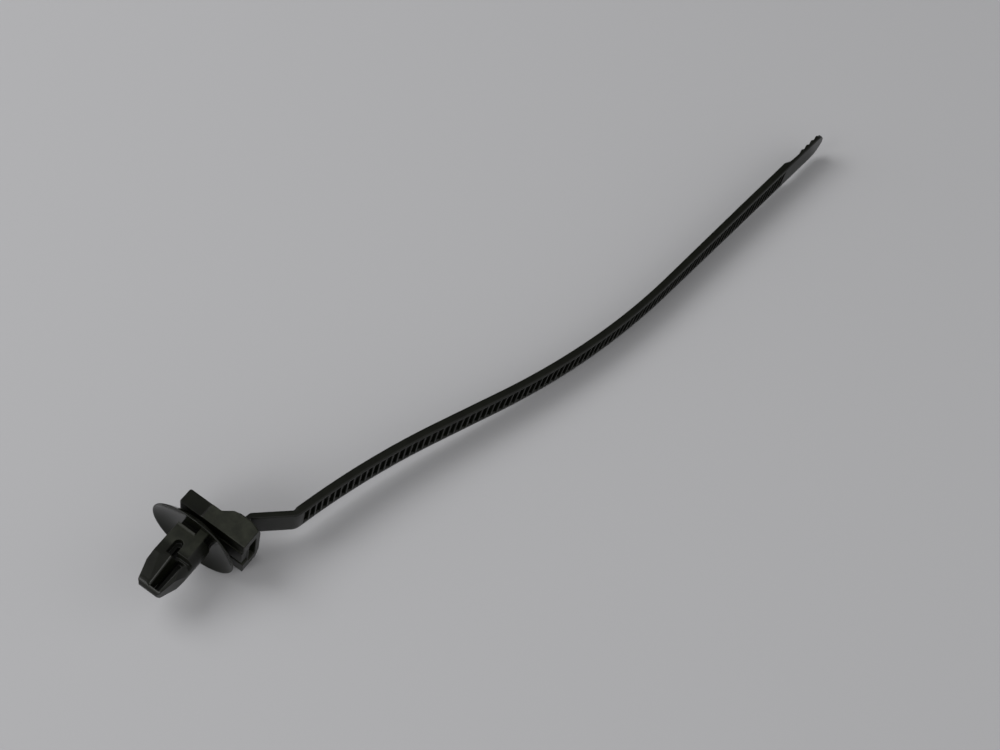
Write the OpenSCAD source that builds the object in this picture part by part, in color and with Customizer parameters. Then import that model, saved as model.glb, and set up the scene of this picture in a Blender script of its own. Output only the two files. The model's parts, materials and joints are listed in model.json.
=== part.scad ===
// Wire harness clip: a push-in panel anchor, a sealing disc and a strap head with its toothed strap,
// moulded in one piece of black nylon.
// It is drawn as moulded, with the strap's width along Z, the strap passage along X and the anchor
// pointing along -Y, and is then laid down on its disc and strap as it comes to rest on a table.

/* [Strap] */
// Width of the strap
strap_w = 5.8; // [4.4:0.1:7]
// Thickness of the strap over its rails
strap_t = 1.4; // [1.1:0.05:2]
// Width of the plain rail along each side of the teeth
rail_w = 0.75; // [0.4:0.05:1.2]
// Distance from one tooth to the next
tooth_pitch = 1.3; // [0.9:0.05:2]
// Depth of the pockets between the teeth
tooth_depth = 0.6; // [0.2:0.05:0.8]
// Width of a tooth's crest along the strap
tooth_crest = 0.3; // [0.1:0.05:0.5]
// Run of the sloping flank of a tooth along the strap
tooth_ramp = 0.35; // [0.1:0.05:0.4]

/* [Strap lie] */
// Straight length after the neck's bend
lead_len = 2; // [1:0.5:20]
// Length of the first bow, which turns away from the head
first_bow_len = 26; // [10:0.5:50]
// Turn of the first bow, in degrees
first_bow_turn = 9.5; // [0:0.5:20]
// Straight length between the bows
mid_len = 13; // [2:1:40]
// Length of the second bow, which turns back
second_bow_len = 43; // [10:1:60]
// Turn of the second bow, in degrees
second_bow_turn = 15.5; // [0:0.5:30]
// Straight length from the second bow to the end of the teeth
tail_len = 41; // [20:1:120]

/* [Tip] */
// Length of the plain tip beyond the teeth
tip_len = 13.8; // [10:0.2:25]
// Thickness of the tip where it is gripped
tip_t = 0.75; // [0.5:0.05:1]
// Length over which the strap thins to the tip
tip_thin_len = 5.2; // [2:0.2:8]
// Number of grip ridges on the back of the tip
grip_count = 5; // [2:1:8]
// Distance from one grip ridge to the next
grip_pitch = 1.85; // [1.6:0.05:2]
// Depth of the valleys between the grip ridges
grip_depth = 0.3; // [0.1:0.05:0.4]
// Run of a grip ridge's slope along the strap
grip_ramp = 1.2; // [0.3:0.05:1.25]
// Width of a grip ridge's crest along the strap
grip_crest = 0.2; // [0.1:0.05:0.3]

/* [Neck] */
// Thickness of the smooth neck
neck_t = 1.05; // [0.8:0.05:1.4]
// Length of the neck from its root to its bend
neck_len = 6.7; // [4:0.1:12]
// Angle between the neck and the strap passage, in degrees
neck_angle = 42; // [20:1:60]
// Angle that the strap turns through at the neck's bend, in degrees
bend_turn = 34; // [10:0.5:50]
// Radius of the bend on the toothed face
bend_r = 2.5; // [2:0.1:5]
// Distance of the neck's root from the anchor's axis, along the passage
neck_x = 5.6; // [4.5:0.1:6.5]
// Height of the short stub that carries the neck off the head
stub_h = 1.05; // [0.6:0.05:2]
// Width of that stub where it leaves the head
stub_w = 1.2; // [0.8:0.05:2]

/* [Head] */
// Length of the head from the anchor's axis to its closed end
head_left = 4.35; // [3.5:0.05:8]
// Length of the head from the anchor's axis to its buckle end
head_right = 8.4; // [7.5:0.05:12]
// Height of the head across the strap's width
head_h = 10.1; // [9:0.1:14]
// Depth of the head's bar
bar_depth = 2.75; // [2.6:0.05:4]
// How far the buckle stands out of the bar on the bundle side
buckle_rise = 1.45; // [0.8:0.05:2.5]
// Where the buckle starts to rise, from the anchor's axis
buckle_x = 1.75; // [0.5:0.05:2.5]
// Run of the buckle's ramp
buckle_ramp = 1.5; // [0.5:0.05:2.5]
// How much lower the buckle is at the head of its ramp than at the neck
buckle_crown = 0.3; // [0.1:0.05:0.6]
// Step by which the buckle end stands above the closed end
buckle_step = 0.12; // [0.05:0.01:0.3]
// Clearance of the strap in its passage, on each side
passage_gap = 0.15; // [0.05:0.05:0.4]
// Slope of the passage up towards the bundle, in degrees
passage_slope = 4.8; // [2:0.1:5]
// Wall between the passage and the bundle at the closed end
passage_wall = 0.7; // [0.5:0.05:1]
// Where the pawl springs from the head, from the anchor's axis
pawl_root = 3; // [2.8:0.05:4]
// Width of the pawl
pawl_w = 3.6; // [2:0.1:4.4]
// Gap between the pawl and the head around it
pawl_gap = 0.6; // [0.4:0.05:0.8]
// Number of teeth on the pawl
pawl_teeth = 3; // [1:1:3]
// Radius of the closed end's outer corners
corner_r = 0.3; // [0.2:0.05:1]
// Bevel along the buckle's outer edges, down from the top and bottom
bevel_drop = 2.2; // [0.5:0.1:3]
// Bevel along the buckle's outer edges, in from the bundle side
bevel_in = 1.1; // [0.3:0.1:1.3]

/* [Disc] */
// Diameter of the sealing disc
disc_d = 16; // [12:0.1:24]
// Depth of the disc's middle behind the barrel's shoulder
dish_depth = 1.1; // [0.5:0.05:2]
// How far the rim stands past the barrel's shoulder before a panel presses it back
rim_set = 0.15; // [0:0.05:0.4]
// Thickness of the disc at its rim
rim_t = 0.25; // [0.2:0.05:0.8]
// Thickness of the disc at its middle
hub_t = 0.85; // [0.6:0.05:1.5]
// Radius of the flat middle of the disc, where it joins the head
hub_r = 2.6; // [2:0.1:2.7]

/* [Anchor] */
// Diameter of the anchor's barrel
barrel_d = 6.7; // [5:0.1:9]
// Distance across the barrel's flats
flats = 5.2; // [4:0.1:6]
// Reach of each spring wing from the anchor's axis
wing_out = 2.9; // [2:0.1:3.2]
// Length of the barrel's upper part, from its shoulder
upper_len = 4.05; // [3:0.05:6]
// Gap between the upper part and the free end of the nose
nose_gap = 0.8; // [0.5:0.05:1.5]
// Length of the nose before it tapers
nose_len = 0.95; // [0.3:0.05:2]
// Whole length of the anchor from the barrel's shoulder
anchor_len = 10.8; // [9:0.1:16]
// Width of the nose at its end
tip_w = 4.2; // [3:0.1:5]
// Bevel at each corner of the nose's end
tip_bevel = 0.45; // [0.2:0.05:1]
// Radius of the nose's rounded end
tip_r = 1.25; // [0.8:0.05:2]
// Where the post that carries the barrel starts, from the anchor's axis
post_in = 0.5; // [0.3:0.05:1]
// Where that post ends
post_out = 2.1; // [1.5:0.05:2.4]
// Half thickness of the anchor's inner web
web_half = 0.9; // [0.6:0.05:1.2]
// Width of the window in the barrel
window_w = 1.5; // [0.8:0.05:1.8]
// Where the window's edge beside the post lies, from the anchor's axis
window_x = 0.25; // [0:0.05:0.3]
// Distance of the window's floor from the anchor's middle plane
window_floor = 1.2; // [1:0.05:1.6]
// Distance of the window's closed end from the barrel's shoulder
window_top = 2.1; // [1:0.05:2.5]
// Width of the slot that frees the spring wing along the window's edge
free_w = 0.8; // [0.3:0.05:1]
// Height of that slot's floor over the anchor's middle plane
free_floor = 0.2; // [0.1:0.05:0.6]
// Wall left at the end of the nose's pocket
pocket_end = 0.65; // [0.5:0.05:2]
// Where the nose's pocket has its upper edge, from the anchor's axis
pocket_x = 0.05; // [0:0.05:0.4]
// Depth of that edge below the flat where the nose starts
pocket_drop = 0.12; // [0.05:0.01:0.3]
// Lean of that edge towards the nose's end, in degrees
pocket_lean = 16; // [12:0.5:18]
// Slope of the pocket's side below its edge, in degrees
pocket_slope = 65; // [50:1:75]
// Tilt of the narrow facet above the pocket's edge, in degrees
facet_tilt = 11.5; // [5:0.5:20]
// Where the slot between the pocket and the spring wing starts, from the anchor's axis
slot_x = 0.75; // [0.6:0.05:1.2]
// Where the slot ends at the nose's start
slot_out = 2.35; // [1.9:0.05:2.5]
// Where the slot ends at the pocket's end
slot_end = 1.75; // [1.5:0.05:1.8]
// Depth of the slot below the anchor's middle plane
slot_depth = 0.7; // [0.2:0.05:1.2]

/* [Resting pose] */
// Roll about the anchor's axis as the clip lies, in degrees
rest_roll = 16.7; // [0:0.1:40]
// Lift of the strap side as the clip lies, in degrees
rest_pitch = 3.56; // [0:0.02:10]

/* [Hidden] */

$fn = 96;
// Overlap that cuts run past a face, and that joins run into one
over = 0.4;
// Longest straight step along a curved strap
path_step = 1.3;
// Points on a quarter of a rounded outline
arc_steps = 6;

// Head, in the plane of the strap's edge
bar_near = dish_depth + hub_t;
bar_far = bar_near + bar_depth;
buckle_far = bar_far + buckle_rise;
head_low = -head_h / 2;
passage_t = strap_t + 2 * passage_gap;
passage_w = strap_w + 2 * passage_gap;
passage_y = bar_far - passage_wall - passage_t / 2;
pawl_end = head_right - pawl_gap / 2;

// Anchor, along its axis from the barrel's shoulder
nose_start = upper_len + nose_gap;

// Strap route, along its toothed face: position, then heading in degrees
neck_start = [neck_x, buckle_far + stub_h, neck_angle];
bend_len = bend_r * bend_turn * PI / 180;
runs = [
    [neck_len, 0],
    [bend_len, bend_turn],
    [lead_len, 0],
    [first_bow_len, -first_bow_turn],
    [mid_len, 0],
    [second_bow_len, second_bow_turn],
    [tail_len + tip_len, 0]
];
bend_start = neck_len;
bend_end = bend_start + bend_len;
teeth_end = bend_end + lead_len + first_bow_len + mid_len + second_bow_len + tail_len;
strap_len = teeth_end + tip_len;

// Where a run of given length and turn ends, from a start of position and heading
function run_on(p, length, turn) =
    let (chord = turn == 0 ? length : length * sin(turn / 2) * 360 / (turn * PI))
    [p[0] + chord * cos(p[2] + turn / 2), p[1] + chord * sin(p[2] + turn / 2), p[2] + turn];
// Position and heading at a distance along the route
function route(s, p = neck_start, i = 0) =
    i == len(runs) - 1 || s <= runs[i][0]
        ? run_on(p, s, runs[i][1] * s / runs[i][0])
        : route(s - runs[i][0], run_on(p, runs[i][0], runs[i][1]), i + 1);
// Point on the route at distance s, moved to the left of the heading
function beside(s, left) =
    let (p = route(s))
    [p[0] - left * sin(p[2]), p[1] + left * cos(p[2])];
// Steps from one distance to another, none longer than the path step
function steps(from, to, longest) =
    let (n = ceil((to - from) / longest))
    [for (i = [0 : n]) from + (to - from) * i / n];
// Smooth change from 0 to 1
function ease(k) = k * k * (3 - 2 * k);

// Distances along the strap at which its outline has a point
bend_points = steps(bend_start, bend_end, bend_len / arc_steps);
toothed_points = steps(bend_end, teeth_end, path_step);
strap_points = concat([0], bend_points, [for (s = toothed_points) if (s > bend_end) s]);
thin_points = steps(teeth_end, teeth_end + tip_thin_len, tip_thin_len / arc_steps);
grip_start = strap_len - grip_count * grip_pitch;
grip_points = [for (i = [0 : grip_count - 1], s = [grip_start + i * grip_pitch]) each [
    [s, tip_t - grip_depth],
    [s + grip_ramp, tip_t],
    [s + grip_ramp + grip_crest, tip_t]
]];
function back_t(s) =
    s <= bend_start ? neck_t
    : s < bend_end ? neck_t + (strap_t - neck_t) * (s - bend_start) / bend_len
    : s <= teeth_end ? strap_t
    : strap_t + (tip_t - strap_t) * ease((s - teeth_end) / tip_thin_len);
strap_front = concat(strap_points, [strap_len]);
strap_back = concat(
    [for (s = strap_points) [s, back_t(s)]],
    [for (s = thin_points) if (s > teeth_end) [s, back_t(s)]],
    grip_points,
    [[strap_len, tip_t - grip_depth]]
);
strap_outline = concat(
    [for (s = strap_front) beside(s, 0)],
    [for (i = [len(strap_back) - 1 : -1 : 0]) beside(strap_back[i][0], strap_back[i][1])]
);

// Resting pose: the clip lies on the rim of its disc and on the lower edge of its strap
function about_x(p, a) = [p[0], p[1] * cos(a) - p[2] * sin(a), p[1] * sin(a) + p[2] * cos(a)];
function about_y(p, a) = [p[0] * cos(a) + p[2] * sin(a), p[1], p[2] * cos(a) - p[0] * sin(a)];
function about_z(p, a) = [p[0] * cos(a) - p[1] * sin(a), p[0] * sin(a) + p[1] * cos(a), p[2]];
function leaned(p) = about_y(about_x(p, rest_pitch), rest_roll);
strap_tip = beside(strap_len, 0);
leaned_tip = leaned([strap_tip[0], strap_tip[1], 0]);
rest_yaw = -atan2(leaned_tip[1], leaned_tip[0]);
function laid(p) = about_z(leaned(p), rest_yaw);
function ring(r, y) = [for (a = [0 : 3 : 357]) [r * cos(a), y, r * sin(a)]];
head_corners = [[-head_left, bar_near], [-head_left, bar_far]];
buckle_corners = [[head_right, bar_near], [head_right, bar_far], [neck_x - stub_w, buckle_far]];
tip_round = strap_w / 2;
square_back = [for (p = strap_back) if (p[0] < strap_len - tip_round) p];
square_points = [for (p = square_back) each [beside(p[0], 0), beside(p[0], p[1])]];
edge_points = concat(
    ring(disc_d / 2, -rim_set),
    ring(disc_d / 2, rim_t - rim_set),
    [for (a = [-90 : 5 : 90], side = [-1, 1])
        let (depth = anchor_len - tip_r + tip_r * cos(a), cut = max(0, depth - anchor_len + tip_bevel))
        [side * (tip_w / 2 - cut), -depth, tip_r * sin(a)]],
    [for (p = head_corners, z = [head_low, -head_low]) [p[0], p[1], z]],
    [for (p = buckle_corners, z = [head_low - buckle_step, buckle_step - head_low]) [p[0], p[1], z]],
    [for (p = square_points, z = [-tip_round, tip_round]) [p[0], p[1], z]],
    [for (a = [-90 : 5 : 90], left = [0, tip_t - grip_depth])
        let (p = beside(strap_len - tip_round + tip_round * cos(a), left))
        [p[0], p[1], tip_round * sin(a)]]
);
laid_points = [for (p = edge_points) laid(p)];
laid_low = [for (k = [0 : 2]) min([for (p = laid_points) p[k]])];
laid_high = [for (k = [0 : 2]) max([for (p = laid_points) p[k]])];
rest_shift = [-(laid_low[0] + laid_high[0]) / 2, -(laid_low[1] + laid_high[1]) / 2, -laid_low[2]];

// Plain prism of a flat outline, centred on the strap's plane
module slab(height) {
    translate([0, 0, -height / 2]) linear_extrude(height) children();
}

// A shape and its copy half a turn round the anchor's axis
module both_sides() {
    children();
    rotate([0, 0, 180]) children();
}

// Pockets between the teeth, cut between the two rails; each ends in the steep side that the pawl catches
module tooth_pockets() {
    first = bend_end + tooth_pitch / 2;
    count = floor((teeth_end - first) / tooth_pitch);
    slab(strap_w - 2 * rail_w) for (i = [0 : count - 1]) {
        s = first + i * tooth_pitch;
        floor_end = s + tooth_pitch - tooth_crest;
        polygon([
            beside(s, -over),
            beside(s, 0),
            beside(s + tooth_ramp, tooth_depth),
            beside(floor_end, tooth_depth),
            beside(floor_end, -over)
        ]);
    }
}

// What is cut away to round the end of the tip across its width
module tip_rounding() {
    end = route(strap_len);
    translate([end[0], end[1], 0]) rotate([0, 0, end[2]]) difference() {
        translate([-tip_round, -over, -strap_w]) cube([tip_round + over, strap_t + 2 * over, 2 * strap_w]);
        translate([-tip_round, -2 * over, 0]) rotate([-90, 0, 0])
            cylinder(r = tip_round, h = strap_t + 4 * over);
    }
}

// Strap with its neck, teeth and tip
module strap() {
    difference() {
        slab(strap_w) polygon(strap_outline);
        tooth_pockets();
        tip_rounding();
    }
}

// Short stub between the head and the neck
module neck_stub() {
    slab(strap_w) polygon([
        beside(0, 0),
        beside(neck_t, neck_t / 2),
        beside(0, neck_t),
        [neck_x - stub_w, buckle_far - over],
        [neck_x, buckle_far - over]
    ]);
}

// Outline of the head's bar and buckle, seen along the strap's width
module head_outline() {
    difference() {
        polygon([
            [-head_left, bar_near],
            [head_right, bar_near],
            [head_right, buckle_far],
            [neck_x - stub_w, buckle_far],
            [buckle_x + buckle_ramp, buckle_far - buckle_crown],
            [buckle_x, bar_far],
            [-head_left, bar_far]
        ]);
        for (far = [0, 1])
            translate([-head_left, far ? bar_far : bar_near]) mirror([0, far]) difference() {
                translate([-over, -over]) square(corner_r + over);
                translate([corner_r, corner_r]) circle(corner_r);
            }
    }
}

// Passage that the strap is threaded through, from the closed end to the buckle end
module passage() {
    length = (head_left + head_right) / cos(passage_slope);
    translate([-head_left, passage_y, 0]) rotate([0, 0, passage_slope])
        translate([-over, -passage_t / 2, -passage_w / 2])
            cube([length + 2 * over, passage_t, passage_w]);
}

// Slot that frees the pawl on three sides
module pawl_slot() {
    slot_w = pawl_w + 2 * pawl_gap;
    translate([0, passage_y, 0]) rotate([90, 0, 0]) linear_extrude(passage_y - bar_near + over)
        difference() {
            translate([pawl_root, -slot_w / 2]) square([head_right - pawl_root + over, slot_w]);
            translate([pawl_root - over, -pawl_w / 2]) square([pawl_end - pawl_root + over, pawl_w]);
        }
}

// Teeth of the pawl, which stand into the passage and catch the strap
module pawl_bite() {
    root_y = -passage_t / 2 - over;
    crest_y = tooth_depth / 2 - passage_t / 2;
    translate([-head_left, passage_y, 0]) rotate([0, 0, passage_slope]) slab(pawl_w)
        for (i = [1 : pawl_teeth]) {
            x = head_left + pawl_end - pawl_gap - i * tooth_pitch;
            steep_x = x + tooth_pitch - tooth_crest;
            polygon([[x, root_y], [steep_x, root_y], [steep_x, crest_y], [steep_x - tooth_crest, crest_y]]);
        }
}

// Bevels along the buckle's outer edges, which widen towards its open end
module buckle_bevels() {
    run = head_right - neck_x;
    clear_y = bevel_in + buckle_rise;
    for (side = [0, 1]) mirror([0, 0, side])
        translate([neck_x, buckle_far, buckle_step - head_low])
            rotate([0, 0, -atan(bevel_in / run)]) rotate([0, 90, 0])
                translate([0, 0, -over]) linear_extrude(2 * run)
                    polygon([[-over, 0], [-over, clear_y], [bevel_drop, clear_y], [bevel_drop, bevel_in]]);
}

// Head: the bar, the buckle, the passage and the pawl
module head() {
    difference() {
        union() {
            slab(head_h) head_outline();
            slab(head_h + 2 * buckle_step) intersection() {
                head_outline();
                translate([0, bar_near]) square([head_right, buckle_far - bar_near]);
            }
        }
        passage();
        pawl_slot();
        buckle_bevels();
    }
    pawl_bite();
}

// Dished disc that seals the panel hole, drawn round the anchor's axis
module disc() {
    rim_r = disc_d / 2;
    radii = [for (i = [0 : 2 * arc_steps]) hub_r + (rim_r - hub_r) * i / (2 * arc_steps)];
    function front(r) = (dish_depth + rim_set) * pow((r - hub_r) / (rim_r - hub_r), 2) - dish_depth;
    function thick(r) = hub_t + (rim_t - hub_t) * (r - hub_r) / (rim_r - hub_r);
    rotate_extrude() polygon(concat(
        [[0, -dish_depth]],
        [for (r = radii) [r, front(r)]],
        [for (i = [len(radii) - 1 : -1 : 0]) [radii[i], front(radii[i]) - thick(radii[i])]],
        [[0, -dish_depth - hub_t]]
    ));
}

// Section of the barrel: a round with two flats, squared where the spring wings are
module barrel_section() {
    intersection() {
        circle(d = barrel_d);
        square([barrel_d, flats], center = true);
    }
    both_sides() translate([-wing_out, 0]) square([wing_out, flats / 2]);
}

// Body of the anchor: the barrel, and the nose that narrows to a rounded edge
module anchor_body() {
    taper_start = nose_start + nose_len;
    intersection() {
        linear_extrude(anchor_len) barrel_section();
        rotate([90, 0, 0]) linear_extrude(2 * flats, center = true) polygon([
            [-barrel_d / 2, 0],
            [barrel_d / 2, 0],
            [barrel_d / 2, taper_start],
            [tip_w / 2, anchor_len - tip_bevel],
            [tip_w / 2 - tip_bevel, anchor_len],
            [tip_bevel - tip_w / 2, anchor_len],
            [-tip_w / 2, anchor_len - tip_bevel],
            [-barrel_d / 2, taper_start]
        ]);
        rotate([90, 0, 90]) linear_extrude(2 * barrel_d, center = true) {
            polygon([
                [-flats / 2, 0],
                [flats / 2, 0],
                [flats / 2, taper_start],
                [tip_r, anchor_len - tip_r],
                [-tip_r, anchor_len - tip_r],
                [-flats / 2, taper_start]
            ]);
            translate([0, anchor_len - tip_r]) circle(tip_r);
        }
    }
}

// Posts and web that carry the anchor's body off the disc
module posts() {
    translate([0, 0, -dish_depth - over]) linear_extrude(dish_depth + 2 * over) both_sides() {
        translate([post_in, 0]) square([post_out - post_in, flats / 2]);
        translate([0, -web_half]) square([post_out, 2 * web_half]);
    }
}

// Window in the barrel, round at its closed end and open towards the nose
module window() {
    round_z = window_top + window_w / 2;
    translate([window_x - window_w / 2, window_floor, 0]) rotate([-90, 0, 0]) linear_extrude(barrel_d) {
        translate([0, -round_z]) circle(d = window_w);
        translate([-window_w / 2, -nose_start]) square([window_w, nose_start - round_z]);
    }
}

// Slots that free the spring wing: along the window's edge, and across between the barrel and the nose
module wing_slots() {
    start = window_top + window_w / 2;
    translate([window_x - free_w, free_floor, start]) cube([free_w, barrel_d, nose_start - start]);
    translate([window_x, web_half, upper_len]) cube([barrel_d, barrel_d, nose_gap]);
}

// Prism of an outline that follows the pocket's edge, with the edge at the outline's own zero height
module along_pocket() {
    translate([0, flats / 2 - pocket_drop, nose_start]) rotate([pocket_lean, 0, 0])
        translate([0, 0, -over]) linear_extrude(2 * anchor_len) children();
}

// Narrow facet above the pocket's edge, along the nose
module pocket_facet() {
    along_pocket() polygon([
        [pocket_x, 0],
        [pocket_x, flats],
        [pocket_x - barrel_d, flats],
        [pocket_x - barrel_d, barrel_d * tan(facet_tilt)]
    ]);
}

// Pocket in the nose, with one sloping side, and the slot beside the spring wing
module pocket() {
    start = nose_start - over;
    end = anchor_len - pocket_end;
    foot_x = pocket_x + flats * cos(pocket_slope);
    intersection() {
        along_pocket()
            polygon([[pocket_x, flats], [pocket_x, 0], [foot_x, -flats * sin(pocket_slope)], [foot_x, flats]]);
        translate([0, 0, start]) cube([slot_end, flats, end - start]);
    }
    translate([0, flats, 0]) rotate([90, 0, 0]) linear_extrude(flats + slot_depth)
        polygon([[slot_x, start], [slot_out, start], [slot_end, end], [slot_x, end]]);
}

// Anchor and disc, turned so that the anchor points away from the bundle
module anchor() {
    rotate([90, 0, 0]) {
        disc();
        posts();
        difference() {
            anchor_body();
            both_sides() {
                window();
                wing_slots();
                pocket_facet();
                pocket();
            }
        }
    }
}

// The whole moulding, lying as it comes to rest
module harness_clip() {
    color("#232524")
        translate(rest_shift) rotate([0, 0, rest_yaw]) rotate([0, rest_roll, 0]) rotate([rest_pitch, 0, 0]) {
            strap();
            neck_stub();
            head();
            anchor();
        }
}

harness_clip();
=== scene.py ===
"""Wire harness clip in moulded black nylon: strap, head, sealing disc and panel anchor, on a pale stage."""

import json
import math
from types import SimpleNamespace

import bmesh
import bpy
from mathutils import Matrix, Quaternion, Vector


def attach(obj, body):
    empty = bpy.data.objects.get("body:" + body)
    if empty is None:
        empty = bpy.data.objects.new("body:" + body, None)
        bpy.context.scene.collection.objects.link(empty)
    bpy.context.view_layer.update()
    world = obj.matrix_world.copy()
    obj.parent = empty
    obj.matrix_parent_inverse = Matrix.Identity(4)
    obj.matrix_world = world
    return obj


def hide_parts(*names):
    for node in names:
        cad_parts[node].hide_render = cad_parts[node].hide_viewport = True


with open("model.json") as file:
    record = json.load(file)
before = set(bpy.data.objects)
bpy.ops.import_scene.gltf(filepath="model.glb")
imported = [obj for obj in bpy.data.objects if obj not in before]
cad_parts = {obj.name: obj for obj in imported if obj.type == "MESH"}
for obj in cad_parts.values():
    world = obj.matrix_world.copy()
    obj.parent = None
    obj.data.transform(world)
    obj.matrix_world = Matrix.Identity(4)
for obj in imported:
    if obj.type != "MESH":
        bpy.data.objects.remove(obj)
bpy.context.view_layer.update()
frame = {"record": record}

bl_info = {
    "name": "Wire Harness Clip",
    "version": (1, 0, 0),
    "blender": (4, 5, 0),
    "location": "3D View > Sidebar > Harness Clip",
    "description": "Dresses a one-piece wire harness clip in moulded black nylon",
    "category": "Add Mesh",
}

# Millimetres in a metre
MM = 1000.0
# Points closer than this are one, in millimetres
WELD = 0.002
# Edges that turn by more than this stay sharp
SHARP_TURN = math.radians(50)
# Edges that turn by less than this are dissolved before a bevel
FLAT_TURN = math.radians(0.3)
# Longest step and largest turn between points of the strap's route
ROUTE_STEP = 0.5
ROUTE_TURN = math.radians(2)
# Steps in which the strap's thickness changes from one value to another
EASE_STEPS = 8
# Name of the mesh attribute that says how coarsely the mould was eroded, from 0 to 1
EROSION = "erosion"
# How far a prism runs into the body that it joins or cuts, in millimetres
OVER = 0.4
# How far a cutting outline runs past the body, in millimetres
CLEAR = 1.0
# Size of the patches of bloom on the nylon, in millimetres
BLOOM_PATCH = 2.2
# Levels of the noise at which bloom starts and is full
BLOOM_FROM = 0.38
BLOOM_TO = 0.68
# The nylon's real grain is about 0.03 mm; it is drawn at 0.3 mm so that it shows
GRAIN = 0.03
GRAIN_DRAWN = 0.3
# Half the side of the floor, and how far it lies below the clip, in metres
FLOOR_HALF = 4
FLOOR_DROP = 0.0001
# Sine of the elevation at which the dome starts and ends to dim towards the zenith
DIM_FROM = 0.6
DIM_TO = 0.85
# Cosine of the turn from the view's direction at which the dome starts and ends to dim behind the clip
SHADE_FROM = 0.1
SHADE_TO = 0.5


def linear(code):
    """Linear red, green, blue and alpha of an sRGB hex colour."""
    parts = [int(code[i : i + 2], 16) / 255 for i in (1, 3, 5)]
    return tuple(c / 12.92 if c <= 0.04045 else ((c + 0.055) / 1.055) ** 2.4 for c in parts) + (1.0,)


def number(name, description, value, **kind):
    """A number with its limits and its unit or subtype."""
    return bpy.props.FloatProperty(name=name, description=description, default=value, **kind)


def length(name, description, size_mm):
    """A length whose default is given in millimetres."""
    return number(name, description, size_mm / MM, min=0.0, precision=5, unit="LENGTH")


def turn(name, description, degrees):
    """An angle whose default is given in degrees."""
    return number(name, description, math.radians(degrees), subtype="ANGLE")


def colour(name, description, code):
    """A colour whose default is an sRGB hex value."""
    return bpy.props.FloatVectorProperty(
        name=name, description=description, default=linear(code), size=4, min=0.0, max=1.0, subtype="COLOR"
    )


def share(name, description, value):
    """A plain number from 0 to 1."""
    return number(name, description, value, min=0.0, max=1.0, subtype="FACTOR")


def strength(name, description, value):
    """A plain number that isn't negative."""
    return number(name, description, value, min=0.0, subtype="UNSIGNED")


def power(name, description, watts):
    """The power of a light."""
    return number(name, description, watts, min=0.0, unit="POWER")


def point(name, description, place):
    """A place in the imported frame, in metres."""
    return bpy.props.FloatVectorProperty(
        name=name, description=description, default=place, size=3, subtype="TRANSLATION"
    )


class StrapSizes(bpy.types.PropertyGroup):
    """Sizes of the strap, its neck, its teeth and its tip."""

    strap_w: length("Width", "Width of the strap", 5.8)
    strap_t: length("Thickness", "Thickness of the strap over its rails", 1.4)
    rail_w: length("Rail width", "Width of the plain rail along each side of the teeth", 0.75)
    tooth_pitch: length("Tooth pitch", "Distance from one tooth to the next", 1.3)
    tooth_depth: length("Tooth depth", "Depth of the pockets between the teeth", 0.6)
    tooth_crest: length("Tooth crest", "Width of a tooth's crest along the strap", 0.3)
    tooth_ramp: length("Tooth ramp", "Run of a tooth's sloping flank", 0.35)
    edge_r: length("Edge radius", "Radius of the strap's long edges", 0.2)
    rim_r: length("Pocket rim", "Rounding of the rim of each pocket", 0.06)
    neck_t: length("Neck thickness", "Thickness of the smooth neck", 1.05)
    neck_len: length("Neck length", "Length of the neck from its root to its bend", 6.7)
    neck_x: length("Neck place", "Distance of the neck's root from the anchor's axis", 5.6)
    neck_y: length("Neck height", "Distance of the neck's root from the barrel's shoulder", 7.2)
    neck_angle: turn("Neck angle", "Angle between the neck and the strap passage", 42)
    bend_turn: turn("Neck bend", "Angle that the strap turns through at the neck's bend", 34)
    bend_r: length("Bend radius", "Radius of the neck's bend on the toothed face", 2.5)
    lead_len: length("Lead", "Straight length after the neck's bend", 2)
    first_bow_len: length("First bow", "Length of the bow that turns away from the head", 26)
    first_bow_turn: turn("First bow turn", "Turn of the first bow", 9.5)
    mid_len: length("Middle", "Straight length between the bows", 13)
    second_bow_len: length("Second bow", "Length of the bow that turns back", 43)
    second_bow_turn: turn("Second bow turn", "Turn of the second bow", 15.75)
    tail_len: length("Tail", "Straight length from the second bow to the end of the teeth", 41)
    twist: turn("Twist", "Turn of the strap's section towards the tip", -5.5)
    twist_from: length("Twist start", "Distance along the strap at which its twist starts", 70)
    twist_to: length("Twist end", "Distance along the strap at which its twist ends", 128)
    tip_len: length("Tip length", "Length of the plain tip beyond the teeth", 13.8)
    tip_round: length("Tip rounding", "Length over which the end of the tip is rounded", 3)
    tip_t: length("Tip thickness", "Thickness of the tip over its grip ridges", 1)
    waist_t: length("Waist thickness", "Thickness of the tip between the teeth and the grip ridges", 0.85)
    tip_thin_len: length("Tip thinning", "Length over which the strap thins to the tip's waist", 1.6)
    grip_count: bpy.props.IntProperty(
        name="Grip ridges",
        description="Number of grip ridges on the back of the tip",
        default=5,
        min=1,
        subtype="UNSIGNED",
    )
    grip_pitch: length("Grip pitch", "Distance from one grip ridge to the next", 1.85)
    grip_depth: length("Grip depth", "Depth of the valleys between the grip ridges", 0.28)
    grip_ramp: length("Grip ramp", "Run of a grip ridge's slope", 1.2)
    grip_crest: length("Grip crest", "Width of a grip ridge's crest", 0.2)


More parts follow.
